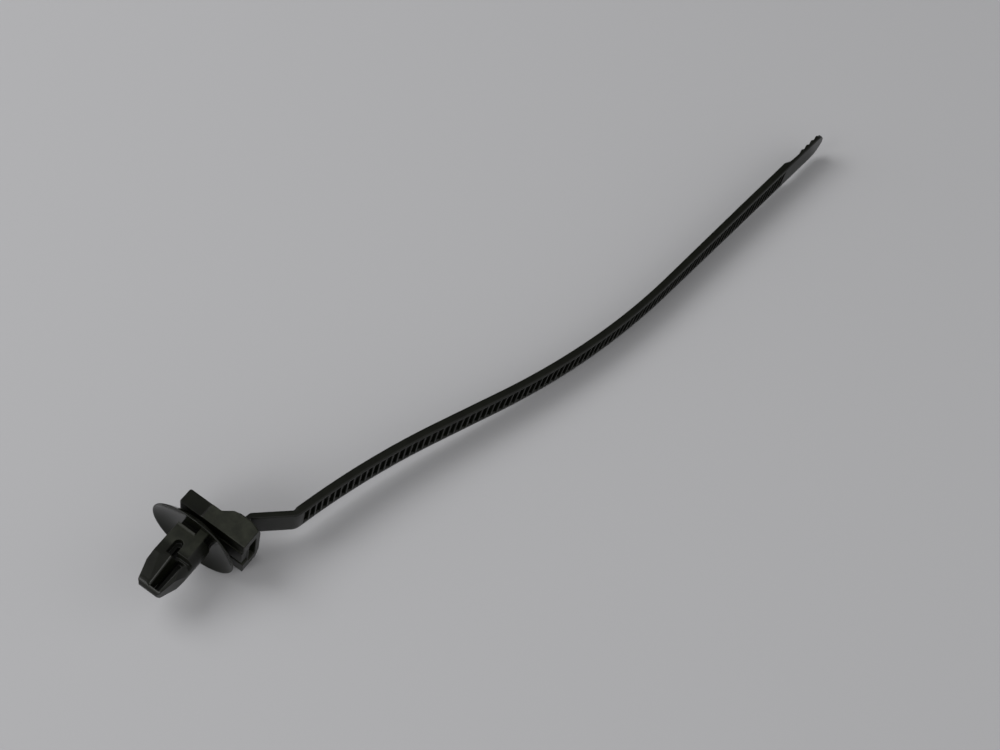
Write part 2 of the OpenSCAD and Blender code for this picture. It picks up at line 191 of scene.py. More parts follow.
class HeadSizes(bpy.types.PropertyGroup):
    """Sizes of the strap head, its passage and its pawl."""

    left: length("Closed end", "Length of the head from the anchor's axis to its closed end", 4.35)
    right: length("Buckle end", "Length of the head from the anchor's axis to its buckle end", 8.4)
    height: length("Height", "Height of the head across the strap's width", 10.1)
    near: length("Near side", "Distance of the head's near side from the barrel's shoulder", 1.95)
    bar_far: length("Bar's far side", "Distance of the bar's bundle side from the barrel's shoulder", 4.7)
    buckle_far: length("Buckle's far side", "Distance of the buckle's top from the barrel's shoulder", 6.15)
    buckle_x: length("Buckle start", "Where the buckle starts to rise, from the anchor's axis", 1.75)
    buckle_ramp: length("Buckle ramp", "Run of the buckle's ramp", 1.5)
    buckle_crown: length("Buckle crown", "How much lower the buckle is at the head of its ramp", 0.3)
    buckle_step: length("Buckle step", "Step by which the buckle end stands above the closed end", 0.12)
    stub_w: length("Stub width", "Width of the stub that carries the neck", 1.2)
    stub_inset: length("Stub inset", "How much narrower the stub is than the neck on each side", 0.04)
    passage_w: length("Passage width", "Width of the strap passage", 6.1)
    passage_t: length("Passage height", "Height of the strap passage", 1.7)
    passage_y: length("Passage place", "Distance of the passage from the shoulder at the closed end", 3.15)
    passage_slope: turn("Passage slope", "Slope of the passage towards the bundle", 4.8)
    pawl_root: length("Pawl root", "Where the pawl springs from the head, from the anchor's axis", 3)
    pawl_w: length("Pawl width", "Width of the pawl", 3.6)
    pawl_gap: length("Pawl gap", "Gap between the pawl and the head around it", 0.6)
    bevel_drop: length("Bevel drop", "Bevel along the buckle's edges, down from the top", 2.2)
    bevel_in: length("Bevel depth", "Bevel along the buckle's edges, in from the bundle side", 1.1)
    corner_r: length("Corner radius", "Radius of the closed end's corners", 0.3)
    eroded_fade: length("Eroded fade", "Width of the border of the coarsely eroded sides", 0.15)
    grain: length("Mesh grain", "Size of the head's faces; edges are rounded by about twice that", 0.085)


class AnchorSizes(bpy.types.PropertyGroup):
    """Sizes of the sealing disc and of the panel anchor."""

    disc_d: length("Disc diameter", "Diameter of the sealing disc", 16)
    dish_depth: length("Dish depth", "Depth of the disc's dish", 1.1)
    dish_power: strength("Dish curve", "How late the dish rises towards its rim", 2.5)
    rim_set: length("Rim set", "How far the rim stands past the barrel's shoulder", 0.15)
    rim_t: length("Rim thickness", "Thickness of the disc at its rim", 0.25)
    hub_t: length("Hub thickness", "Thickness of the disc at its middle", 0.85)
    hub_r: length("Hub radius", "Radius of the flat middle of the disc", 2.6)
    barrel_d: length("Barrel diameter", "Diameter of the anchor's barrel", 6.7)
    flats: length("Flats", "Distance across the barrel's flats", 5.2)
    wing_out: length("Wing reach", "Reach of each spring wing from the anchor's axis", 2.9)
    upper_len: length("Barrel length", "Length of the barrel's upper part", 4.05)
    nose_gap: length("Nose gap", "Gap between the upper part and the nose", 0.8)
    nose_len: length("Nose land", "Length of the nose before it tapers", 0.95)
    anchor_len: length("Anchor length", "Length of the anchor from the barrel's shoulder", 10.8)
    tip_w: length("Nose width", "Width of the nose at its end", 4.2)
    tip_bevel: length("Nose bevel", "Bevel at each corner of the nose's end", 0.45)
    tip_r: length("Nose radius", "Radius of the nose's rounded end", 1.25)
    post_in: length("Post start", "Where the post that carries the barrel starts, from the axis", 0.5)
    post_out: length("Post end", "Where that post ends", 2.1)
    web_half: length("Web", "Half thickness of the anchor's inner web", 0.9)
    window_w: length("Window width", "Width of the window in the barrel", 1.5)
    window_x: length("Window edge", "Where the window's edge beside the post lies, from the axis", 0.25)
    window_floor: length("Window floor", "Distance of the window's floor from the middle plane", 1.2)
    window_top: length("Window end", "Distance of the window's closed end from the shoulder", 2.1)
    free_w: length("Wing slot", "Width of the slot that frees the wing along the window's edge", 0.8)
    free_floor: length("Wing slot floor", "Height of that slot's floor over the middle plane", 0.2)
    pocket_end: length("Pocket end", "Wall left at the end of the nose's pocket", 0.65)
    pocket_x: length("Pocket edge", "Where the nose's pocket has its upper edge, from the axis", 0.05)
    pocket_drop: length("Pocket drop", "Depth of that edge below the flat where the nose starts", 0.12)
    pocket_lean: turn("Pocket lean", "Lean of that edge towards the nose's end", 16)
    pocket_slope: turn("Pocket slope", "Slope of the pocket's side below its edge", 65)
    facet_tilt: turn("Facet tilt", "Tilt of the narrow facet above the pocket's edge", 11.5)
    ridge_r: length("Ridge radius", "Radius of the ridge along the pocket's upper edge", 0.2)
    slot_x: length("Slot start", "Where the slot beside the spring wing starts, from the axis", 0.75)
    slot_out: length("Slot end", "Where the slot ends at the nose's start", 2.35)
    slot_end: length("Slot narrow end", "Where the slot ends at the pocket's end", 1.75)
    slot_depth: length("Slot depth", "Depth of the slot below the middle plane", 0.7)
    lip_w: length("Lip width", "Width of the thin slanted lip along the barrel's shoulder", 0.4)
    lip_rise: length("Lip rise", "How far that lip stands above the barrel's flat", 0.2)
    eroded_fade: length("Eroded fade", "Length over which the eroded flats fade at the barrel's end", 1.3)
    grain: length("Mesh grain", "Size of the anchor's faces; edges are rounded by about twice that", 0.07)


class NylonFinish(bpy.types.PropertyGroup):
    """Colours and gloss of the moulded nylon."""

    nylon: colour("Nylon", "Colour of the black nylon", "#0c0d08")
    bloom: colour("Bloom", "Greyer colour of the nylon where its surface has bloomed", "#10120b")
    satin: share("Roughness", "Roughness of the moulded surface", 0.32)
    disc_satin: share("Disc roughness", "Roughness of the smoother sealing disc", 0.15)
    eroded: colour("Eroded nylon", "Colour of the nylon where the mould was eroded coarsely", "#191b14")
    eroded_bloom: colour("Eroded bloom", "Greyer colour of that nylon where it has bloomed", "#2a2c23")
    eroded_satin: share("Eroded roughness", "Roughness of the coarsely eroded faces", 0.55)
    sheen: share("Sheen", "Share of the light that the surface mirrors; 0.5 is clear gloss", 0.22)


class StageSettings(bpy.types.PropertyGroup):
    """Camera, light and floor."""

    floor: colour("Floor", "Colour of the plain floor", "#b0b0b2")
    camera: point("Camera", "Place of the camera", (-0.114372, -0.123774, 0.186148))
    aim: point("Aim", "Point that the camera looks at", (-0.010363, -0.002192, 0.004))
    roll: turn("Roll", "Turn of the camera about its own axis", -0.882)
    lens: number("Lens", "Focal length on a 36 mm sensor", 49.185, unit="CAMERA")
    dome: strength("Dome", "Strength of the low light all round", 1.05)
    zenith: strength("Zenith", "Strength of the light overhead", 0.3)
    far: share("Far side", "Share of the light that is left behind the clip", 0.12)
    softbox: point("Softbox", "Place of the softbox behind the clip", (-0.29, 0.42, 0.74))
    softbox_aim: point("Softbox aim", "Point that the softbox is turned to", (0, 0, 0))
    softbox_size: length("Softbox size", "Side of the square softbox", 650)
    softbox_power: power("Softbox power", "Power of the softbox", 4)
    edge: point("Edge light", "Place of the light that draws the anchor's edges", (-0.76, -0.16, 0.52))
    edge_aim: point("Edge light aim", "Point that the edge light is turned to", (-0.06, 0, 0))
    edge_size: length("Edge light size", "Side of the square edge light", 300)
    edge_power: power("Edge light power", "Power of the edge light", 1.5)


class ClipSettings(bpy.types.PropertyGroup):
    """Everything a user may change on the clip."""

    strap: bpy.props.PointerProperty(type=StrapSizes)
    head: bpy.props.PointerProperty(type=HeadSizes)
    anchor: bpy.props.PointerProperty(type=AnchorSizes)
    finish: bpy.props.PointerProperty(type=NylonFinish)
    stage: bpy.props.PointerProperty(type=StageSettings)


def in_mm(group):
    """The group's lengths in millimetres, and its other numbers as they are, by name."""
    found = {}
    for name in group.__annotations__:
        value = getattr(group, name)
        found[name] = value * MM if group.bl_rna.properties[name].unit == "LENGTH" else value
    return SimpleNamespace(**found)


def mould_to_frame():
    """Matrix from the moulding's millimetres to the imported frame, from the anchor's and passage's axes."""
    mounts = {mount["name"]: mount for mount in frame["record"]["mounts"]}
    origin = Vector(mounts["panel_anchor"]["pos_m"])
    bundle_way = -Vector(mounts["panel_anchor"]["axis"]).normalized()
    passage_way = -Vector(mounts["strap_passage"]["axis"])
    width_way = passage_way.cross(bundle_way).normalized()
    along_way = bundle_way.cross(width_way)
    turned = Matrix((along_way, bundle_way, width_way)).transposed().to_4x4()
    return Matrix.Translation(origin) @ turned @ Matrix.Scale(1 / MM, 4)


# The anchor is drawn along its own axis, which points away from the bundle in the moulding
ANCHOR_TURN = Matrix(((1, 0, 0, 0), (0, 0, -1, 0), (0, 1, 0, 0), (0, 0, 0, 1)))
HALF_TURN = Matrix.Rotation(math.pi, 4, "Z")


def add(tree, kind, values=None, **settings):
    """Adds a node with its settings; each input in values gets a number or a link from a socket."""
    node = tree.nodes.new(kind)
    for name, value in settings.items():
        setattr(node, name, value)
    for key, value in (values or {}).items():
        if isinstance(value, bpy.types.NodeSocket):
            tree.links.new(value, node.inputs[key])
        else:
            node.inputs[key].default_value = value
    return node


def cleared(owner):
    """The empty node tree of a new material or world."""
    owner.use_nodes = True
    owner.node_tree.nodes.clear()
    return owner.node_tree


def per_mm(size_mm):
    """Texture scale, on coordinates in metres, at which one feature is that many millimetres."""
    return MM / size_mm


def moulded_nylon(name, finish, roughness):
    """Black polyamide 66, injection moulded and left as it came from a steel mould.
    The eye sees a satin charcoal black with a slight green-grey bloom in soft patches, a fine grain and
    light along the rounded edges. Where the steel was eroded coarsely it is greyer and more matt."""
    material = bpy.data.materials.get(name)
    if material:
        return material
    material = bpy.data.materials.new(name)
    tree = cleared(material)
    place = add(tree, "ShaderNodeTexCoord").outputs["Object"]
    patches, grain = (
        add(
            tree,
            "ShaderNodeTexNoise",
            {"Vector": place, "Scale": per_mm(size), "Detail": detail, "Roughness": rough},
        ).outputs["Fac"]
        for size, detail, rough in ((BLOOM_PATCH, 5.0, 0.68), (GRAIN_DRAWN, 3.0, 0.6))
    )
    bloom = add(
        tree, "ShaderNodeMapRange", {"Value": patches, "From Min": BLOOM_FROM, "From Max": BLOOM_TO}
    )
    eroded = add(tree, "ShaderNodeAttribute", attribute_name=EROSION).outputs["Fac"]
    plain, coarse = (
        add(
            tree,
            "ShaderNodeMix",
            {0: bloom.outputs["Result"], 6: tuple(base), 7: tuple(bloomed)},
            data_type="RGBA",
        )
        for base, bloomed in ((finish.nylon, finish.bloom), (finish.eroded, finish.eroded_bloom))
    )
    tint = add(
        tree, "ShaderNodeMix", {0: eroded, 6: plain.outputs[2], 7: coarse.outputs[2]}, data_type="RGBA"
    )
    gloss = add(
        tree,
        "ShaderNodeMapRange",
        {"Value": patches, "To Min": roughness - 0.08, "To Max": roughness + 0.1},
    )
    matt = add(
        tree,
        "ShaderNodeMath",
        {0: eroded, 1: finish.eroded_satin - roughness, 2: gloss.outputs["Result"]},
        operation="MULTIPLY_ADD",
    )
    bump = add(tree, "ShaderNodeBump", {"Height": grain, "Strength": 0.22, "Distance": GRAIN / MM})
    shader = add(
        tree,
        "ShaderNodeBsdfPrincipled",
        {
            "Base Color": tint.outputs[2],
            "Roughness": matt.outputs["Value"],
            "IOR": 1.53,
            "Specular IOR Level": finish.sheen,
            "Normal": bump.outputs["Normal"],
        },
    )
    add(tree, "ShaderNodeOutputMaterial", {"Surface": shader.outputs["BSDF"]})
    return material


def satin_nylon(finish):
    """The clip's common face, from lightly eroded steel: a dark satin."""
    return moulded_nylon("Moulded nylon 66 black", finish, finish.satin)


def smooth_nylon(finish):
    """The sealing disc's face, from polished steel: it mirrors what stands before it, softly."""
    return moulded_nylon("Moulded nylon 66 black, smooth", finish, finish.disc_satin)


def plain_mesh(obj):
    """The object's evaluated mesh as a plain one. The object itself goes."""
    bpy.context.view_layer.update()
    depsgraph = bpy.context.evaluated_depsgraph_get()
    mesh = bpy.data.meshes.new_from_object(obj.evaluated_get(depsgraph))
    bpy.data.objects.remove(obj)
    return mesh


def shown(name, data):
    """A new object of that data in the scene."""
    obj = bpy.data.objects.new(name, data)
    bpy.context.scene.collection.objects.link(obj)
    return obj


def mesh_of(bm, name):
    """A mesh of the edit mesh, welded, with its faces turned outwards."""
    bmesh.ops.remove_doubles(bm, verts=bm.verts, dist=WELD)
    bmesh.ops.recalc_face_normals(bm, faces=bm.faces)
    mesh = bpy.data.meshes.new(name)
    bm.to_mesh(mesh)
    bm.free()
    return mesh


def quad(x0, y0, x1, y1):
    """Outline of a rectangle between two opposite corners."""
    return [(x0, y0), (x1, y0), (x1, y1), (x0, y1)]


def arc(x, y, radius, start, end, steps):
    """Points on a circle about a centre, from one angle to another."""
    turns = [start + (end - start) * i / steps for i in range(steps + 1)]
    return [(x + radius * math.cos(t), y + radius * math.sin(t)) for t in turns]


def prism(outline, low, high, matrix=None):
    """Closed prism of a flat outline between two heights, then moved by the matrix."""
    bm = bmesh.new()
    lower = [bm.verts.new((x, y, low)) for x, y in outline]
    upper = [bm.verts.new((x, y, high)) for x, y in outline]
    bm.faces.new(lower)
    bm.faces.new(upper)
    for i in range(len(outline)):
        j = (i + 1) % len(outline)
        bm.faces.new((lower[i], lower[j], upper[j], upper[i]))
    if matrix:
        bmesh.ops.transform(bm, matrix=matrix, verts=bm.verts)
    return mesh_of(bm, "prism")


def combined(base, other, operation):
    """One mesh from two, by a Boolean of that kind."""
    body = shown("body", base)
    tool = shown("tool", other)
    modifier = body.modifiers.new("Combine", "BOOLEAN")
    modifier.operation = operation
    modifier.solver = "EXACT"
    modifier.object = tool
    result = plain_mesh(body)
    bpy.data.objects.remove(tool)
    if not result.polygons:
        raise RuntimeError("a Boolean left nothing")
    return result


def rounded(mesh, radius, picked):
    """The mesh with the convex edges rounded that picked chooses."""
    bm = bmesh.new()
    bm.from_mesh(mesh)
    bmesh.ops.remove_doubles(bm, verts=bm.verts, dist=WELD)
    bmesh.ops.dissolve_limit(bm, angle_limit=FLAT_TURN, verts=bm.verts, edges=bm.edges)
    edges = [edge for edge in bm.edges if edge.is_manifold and edge.is_convex and picked(edge)]
    bmesh.ops.bevel(
        bm, geom=edges, offset=radius, segments=3, profile=0.5, affect="EDGES", loop_slide=True
    )
    return mesh_of(bm, "rounded")


def softened(mesh, grain, passes):
    """The mesh laid anew in even small faces and smoothed, so that its edges get a moulded rounding."""
    body = shown("body", mesh)
    remesh = body.modifiers.new("Even faces", "REMESH")
    remesh.mode = "VOXEL"
    remesh.voxel_size = grain
    smooth = body.modifiers.new("Rounded edges", "SMOOTH")
    smooth.factor = 0.5
    smooth.iterations = passes
    return plain_mesh(body)


def add_piece(name, mesh, material, erosion=None):
    """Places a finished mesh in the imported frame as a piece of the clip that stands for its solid.
    The erosion of each point follows from its place and its normal."""
    mesh.materials.clear()
    mesh.materials.append(material)
    if erosion:
        layer = mesh.attributes.new(EROSION, "FLOAT", "POINT")
        for vertex in mesh.vertices:
            layer.data[vertex.index].value = erosion(vertex.co, vertex.normal)
    mesh.transform(mould_to_frame())
    mesh.shade_smooth()
    mesh.set_sharp_from_angle(angle=SHARP_TURN)
    draft = shown(name, mesh)
    modifier = draft.modifiers.new("Flat faces first", "WEIGHTED_NORMAL")
    modifier.keep_sharp = True
    piece = shown(name, plain_mesh(draft))
    piece.name = name
    piece.data.name = name
    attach(piece, "root")
    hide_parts("harness_clip")
    return piece


def strap_section(half, thick, radius, rim):
    """Points round the strap's section, as thickness and width, from the upper rim to the lower one."""
    corner = radius * (1 - math.sqrt(0.5))
    upper = [
        (0, rim),
        (0, half - radius),
        (corner, half - corner),
        (radius, half),
        (thick - radius, half),
        (thick - corner, half - corner),
        (thick, half - radius),
    ]
    return upper + [(y, -z) for y, z in reversed(upper)]


def skin(bm, stations, open_spans=()):
    """Skins sections along the strap. An open span has no strip between the rims. Returns the points."""
    rings = [[bm.verts.new((s, y, z)) for y, z in section] for s, section in stations]
    for i, (near, far) in enumerate(zip(rings, rings[1:])):
        for j in range(len(near)):
            k = (j + 1) % len(near)
            if k == 0 and i in open_spans:
                continue
            bm.faces.new((near[j], near[k], far[k], far[j]))
    return rings


def tooth_cell(s):
    """One pitch of the toothed strap, drawn straight, from the middle of one crest to the next."""
    half = s.strap_w / 2
    wall = half - s.rail_w
    rim = wall + s.rim_r
    ramp_top = s.tooth_crest / 2
    steep = s.tooth_pitch - s.tooth_crest / 2
    section = strap_section(half, s.strap_t, s.edge_r, rim)
    bm = bmesh.new()
    stops = (0, ramp_top - s.rim_r, steep + s.rim_r, s.tooth_pitch)
    rings = skin(bm, [(x, section) for x in stops], open_spans=(1,))
    loops = [[rings[1][0], rings[1][-1], rings[2][-1], rings[2][0]]]
    ramp_in = s.rim_r * s.tooth_ramp / s.tooth_depth
    for y, near, far in (
        (s.rim_r, ramp_top + ramp_in, steep),
        (s.tooth_depth, ramp_top + s.tooth_ramp, steep),
    ):
        corners = ((near, wall), (near, -wall), (far, -wall), (far, wall))
        loops.append([bm.verts.new((x, y, z)) for x, z in corners])
    for upper, lower in zip(loops, loops[1:]):
        for j in range(4):
            k = (j + 1) % 4
            bm.faces.new((upper[j], upper[k], lower[k], lower[j]))
    bm.faces.new(loops[-1])
    return mesh_of(bm, "tooth_cell")


def ease(value, start, end):
    """Smooth change from 0 to 1 as the value goes from start to end."""
    k = min(max((value - start) / (end - start), 0), 1)
    return k * k * (3 - 2 * k)


def strap_ends(s, first, teeth_end, strap_len):
    """The smooth neck and the plain tip, drawn straight, each open where the toothed length joins it."""
    half = s.strap_w / 2
    rim = half - s.rail_w + s.rim_r
    bend_len = s.bend_r * s.bend_turn
    bm = bmesh.new()
    neck_stops = [0, s.neck_len / 2, s.neck_len]
    neck_stops += [s.neck_len + bend_len * i / EASE_STEPS for i in range(1, EASE_STEPS + 1)]
    neck_stops += [first]
    neck = []
    for x in neck_stops:
        thick = s.neck_t + (s.strap_t - s.neck_t) * ease(x, s.neck_len, s.neck_len + bend_len)
        neck.append((x, strap_section(half, thick, s.edge_r, rim)))
    bm.faces.new(skin(bm, neck)[0])
    thin_from = strap_len - s.tip_len
    grip_from = strap_len - s.grip_count * s.grip_pitch
    backs = [(teeth_end, s.strap_t)]
    for i in range(EASE_STEPS + 1):
        x = thin_from + s.tip_thin_len * i / EASE_STEPS
        backs.append((x, s.strap_t + (s.waist_t - s.strap_t) * ease(i, 0, EASE_STEPS)))
    for i in range(s.grip_count):
        x = grip_from + i * s.grip_pitch
        backs.append((x, s.tip_t - s.grip_depth))
        backs.append((x + s.grip_ramp, s.tip_t))
        backs.append((x + s.grip_ramp + s.grip_crest, s.tip_t))
    backs.append((strap_len, s.tip_t - s.grip_depth))

    def back(x):
        """Thickness of the tip at a distance along the strap."""
        for (x0, t0), (x1, t1) in zip(backs, backs[1:]):
            if x0 <= x <= x1:
                return t0 + (t1 - t0) * (x - x0) / (x1 - x0)
        return backs[-1][1]

    round_from = strap_len - s.tip_round
    stops = {x for x, _ in backs if x <= round_from}
    stops |= {round_from + s.tip_round * math.sin(math.radians(a)) for a in range(0, 86, 5)}
    stops |= {x for x, _ in backs if round_from < x < strap_len - 0.05}
    tip = []
    for x in sorted(stops):
        past = max(0, x - round_from) / s.tip_round
        reach = half * math.sqrt(1 - past**2)
        thick = back(x)
        # The edges keep less of a radius where the end is thin or narrow
        radius = min(s.edge_r, thick * 0.3, reach * 0.4)
        tip.append((x, strap_section(reach, thick, radius, min(rim, reach - radius * 1.2))))
    bm.faces.new(skin(bm, tip)[-1])
    return mesh_of(bm, "strap_ends")


def strap_route(s):
    """The line that the strap's toothed face follows, as a curve in the moulding's millimetres."""
    x, y, heading = s.neck_x, s.neck_y, s.neck_angle
    points = [(x, y)]
    runs = (
        (s.neck_len, 0),
        (s.bend_r * s.bend_turn, s.bend_turn),
        (s.lead_len, 0),
        (s.first_bow_len, -s.first_bow_turn),
        (s.mid_len, 0),
        (s.second_bow_len, s.second_bow_turn),
        (s.tail_len + s.tip_len, 0),
    )
    for run, bend in runs:
        steps = max(math.ceil(run / ROUTE_STEP), math.ceil(abs(bend) / ROUTE_TURN))
        for _ in range(steps):
            heading += bend / steps / 2
            x += run / steps * math.cos(heading)
            y += run / steps * math.sin(heading)
            heading += bend / steps / 2
            points.append((x, y))
    curve = bpy.data.curves.new("strap_route", "CURVE")
    curve.dimensions = "3D"
    spline = curve.splines.new("POLY")
    spline.points.add(len(points) - 1)
    for knot, (x, y) in zip(spline.points, points):
        knot.co = (x, y, 0, 1)
    return curve


def strap_tree():
    """Node tree that repeats the tooth along the strap and lays the whole strap on its twisted route."""
    tree = bpy.data.node_groups.new("Strap along route", "GeometryNodeTree")
    sockets = {}
    for kind, names in (
        ("NodeSocketGeometry", ("Ends",)),
        ("NodeSocketObject", ("Tooth", "Route")),
        ("NodeSocketInt", ("Teeth",)),
        ("NodeSocketFloat", ("Pitch", "First tooth", "Twist", "Twist start", "Twist end")),
        ("NodeSocketMaterial", ("Nylon",)),
    ):
        for name in names:
            socket = tree.interface.new_socket(name=name, in_out="INPUT", socket_type=kind)
            sockets[name] = socket.identifier
    tree.interface.new_socket(name="Strap", in_out="OUTPUT", socket_type="NodeSocketGeometry")
    given = add(tree, "NodeGroupInput").outputs
    tooth = add(tree, "GeometryNodeObjectInfo", {"Object": given["Tooth"]})
    start = add(tree, "ShaderNodeCombineXYZ", {"X": given["First tooth"]}).outputs["Vector"]
    step = add(tree, "ShaderNodeCombineXYZ", {"X": given["Pitch"]}).outputs["Vector"]
    places = add(
        tree,
        "GeometryNodeMeshLine",
        {"Count": given["Teeth"], "Start Location": start, "Offset": step},
        mode="OFFSET",
    )
    teeth = add(
        tree,
        "GeometryNodeInstanceOnPoints",
        {"Points": places.outputs["Mesh"], "Instance": tooth.outputs["Geometry"]},
    )
    row = add(tree, "GeometryNodeRealizeInstances", {"Geometry": teeth.outputs["Instances"]})
    whole = add(tree, "GeometryNodeJoinGeometry", {"Geometry": row.outputs["Geometry"]})
    tree.links.new(given["Ends"], whole.inputs["Geometry"])
    welded = add(
        tree, "GeometryNodeMergeByDistance", {"Geometry": whole.outputs["Geometry"], "Distance": WELD}
    )
    spot = add(tree, "GeometryNodeInputPosition").outputs["Position"]
    along = add(tree, "ShaderNodeSeparateXYZ", {"Vector": spot}).outputs["X"]
    route = add(tree, "GeometryNodeObjectInfo", {"Object": given["Route"]})
    line = add(
        tree,
        "GeometryNodeSampleCurve",
        {"Curves": route.outputs["Geometry"], "Length": along},
        mode="LENGTH",
    )
    left = add(
        tree, "ShaderNodeVectorMath", {0: (0, 0, 1), 1: line.outputs["Tangent"]}, operation="CROSS_PRODUCT"
    )
    reach = add(
        tree,
        "ShaderNodeMapRange",
        {"Value": along, "From Min": given["Twist start"], "From Max": given["Twist end"]},
        interpolation_type="SMOOTHSTEP",
    )
    lean = add(tree, "ShaderNodeMath", {0: reach.outputs[0], 1: given["Twist"]}, operation="MULTIPLY")
    leaned = add(
        tree, "ShaderNodeVectorRotate", {"Vector": spot, "Angle": lean.outputs[0]}, rotation_type="X_AXIS"
    )
    across = add(tree, "ShaderNodeSeparateXYZ", {"Vector": leaned.outputs["Vector"]}).outputs
    aside = add(
        tree, "ShaderNodeVectorMath", {0: left.outputs["Vector"], "Scale": across["Y"]}, operation="SCALE"
    )
    lifted = add(tree, "ShaderNodeCombineXYZ", {"Z": across["Z"]})
    offset = add(tree, "ShaderNodeVectorMath", {0: aside.outputs["Vector"], 1: lifted.outputs["Vector"]})
    spot_laid = add(tree, "ShaderNodeVectorMath", {0: line.outputs["Position"], 1: offset.outputs["Vector"]})
    laid = add(
        tree,
        "GeometryNodeSetPosition",
        {"Geometry": welded.outputs["Geometry"], "Position": spot_laid.outputs["Vector"]},
    )
    real = add(tree, "GeometryNodeRealizeInstances", {"Geometry": laid.outputs["Geometry"]})
    coated = add(
        tree, "GeometryNodeSetMaterial", {"Geometry": real.outputs["Geometry"], "Material": given["Nylon"]}
    )
    add(tree, "NodeGroupOutput", {"Strap": coated.outputs["Geometry"]})
    return tree, sockets


class HARNESS_OT_strap(bpy.types.Operator):
    """Builds the strap with its neck, teeth and tip, laid on its route"""

    bl_idname = "harness_clip.strap"
    bl_label = "Strap"

    def execute(self, context):
        settings = context.scene.harness_clip
        s = in_mm(settings.strap)
        nylon = satin_nylon(settings.finish)
        bend_end = s.neck_len + s.bend_r * s.bend_turn
        toothed = s.lead_len + s.first_bow_len + s.mid_len + s.second_bow_len + s.tail_len
        strap_len = bend_end + toothed + s.tip_len
        first = bend_end + s.tooth_pitch / 2 - s.tooth_crest / 2
        count = math.floor((toothed - s.tooth_pitch / 2) / s.tooth_pitch)
        teeth_end = first + count * s.tooth_pitch
        tooth = shown("tooth", tooth_cell(s))
        route = shown("route", strap_route(s))
        strap = shown("strap_draft", strap_ends(s, first, teeth_end, strap_len))
        tree, sockets = strap_tree()
        modifier = strap.modifiers.new("Strap along route", "NODES")
        modifier.node_group = tree
        inputs = {"Tooth": tooth, "Route": route, "Nylon": nylon}
        inputs |= {"Teeth": count, "Pitch": s.tooth_pitch, "First tooth": first}
        inputs |= {"Twist": s.twist, "Twist start": s.twist_from, "Twist end": s.twist_to}
        for name, value in inputs.items():
            modifier[sockets[name]] = value
        mesh = plain_mesh(strap)
        bpy.data.objects.remove(tooth)
        bpy.data.objects.remove(route)
        bm = bmesh.new()
        bm.from_mesh(mesh)
        if any(not edge.is_manifold for edge in bm.edges):
            raise RuntimeError("the strap isn't closed")
        add_piece("strap", mesh_of(bm, "strap"), nylon)
        return {"FINISHED"}


